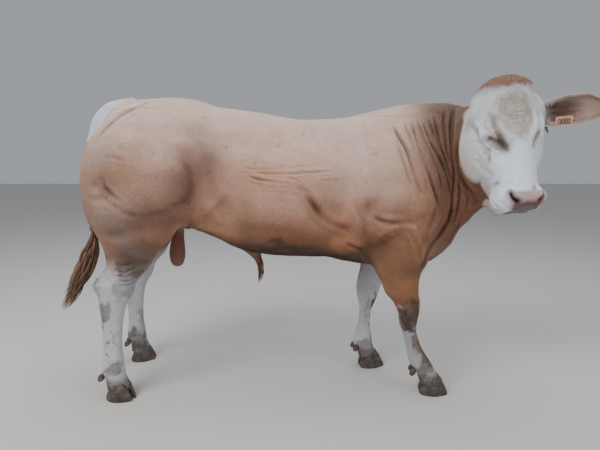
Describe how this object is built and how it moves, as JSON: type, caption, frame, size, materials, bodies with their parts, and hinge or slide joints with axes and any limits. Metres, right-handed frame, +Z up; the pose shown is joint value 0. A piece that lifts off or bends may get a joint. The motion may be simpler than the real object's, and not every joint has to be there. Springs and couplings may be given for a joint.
{
  "type": "standing young beef bull",
  "caption": "Life-size still model of a standing young Blonde d'Aquitaine bull, head turned to its right toward the viewer, ears out, tail hanging, wearing an ear tag.",
  "frame": {"origin": "on the floor, under the middle of the whole outline", "axes": "+X the way the body points, +Y to the animal's left, +Z up"},
  "size_m": [2.0734, 0.6244, 1.2051],
  "materials": {
    "coat_tan": "short matt hair, pale pinkish tan above, orange-brown below",
    "coat_white": "short matt white hair, brown poll",
    "coat_grey": "short matt white hair with dried grey-brown dirt",
    "coat_ear": "thin skin with sparse hair, pink inside",
    "switch_hair": "long wavy brown hair",
    "bare_skin": "bare reddish-brown skin",
    "eyeball": "wet, very dark",
    "horn": "dark dull horn",
    "tag_plastic": "salmon moulded plastic"
  },
  "bodies": {
    "root": {"trunk": "coat_tan", "neck": "coat_tan", "tail_dock": "coat_tan", "upper_hind_right": "coat_tan", "upper_hind_left": "coat_tan", "upper_fore_right": "coat_tan", "upper_fore_left": "coat_tan", "sheath": "coat_tan", "head": "coat_white", "lower_hind_right": "coat_grey", "lower_hind_left": "coat_grey", "lower_fore_right": "coat_grey", "lower_fore_left": "coat_grey", "ear_left": "coat_ear", "ear_right": "coat_ear", "tail_switch": "switch_hair", "scrotum": "bare_skin", "eye_left": "eyeball", "eye_right": "eyeball", "ear_tag": "tag_plastic", "claw_hind_right_outer": "horn", "dewclaw_hind_right_outer": "horn", "claw_hind_right_inner": "horn", "dewclaw_hind_right_inner": "horn", "claw_hind_left_outer": "horn", "dewclaw_hind_left_outer": "horn", "claw_hind_left_inner": "horn", "dewclaw_hind_left_inner": "horn", "claw_fore_right_outer": "horn", "dewclaw_fore_right_outer": "horn", "claw_fore_right_inner": "horn", "dewclaw_fore_right_inner": "horn", "claw_fore_left_outer": "horn", "dewclaw_fore_left_outer": "horn", "claw_fore_left_inner": "horn", "dewclaw_fore_left_inner": "horn"}
  },
  "joints": []
}
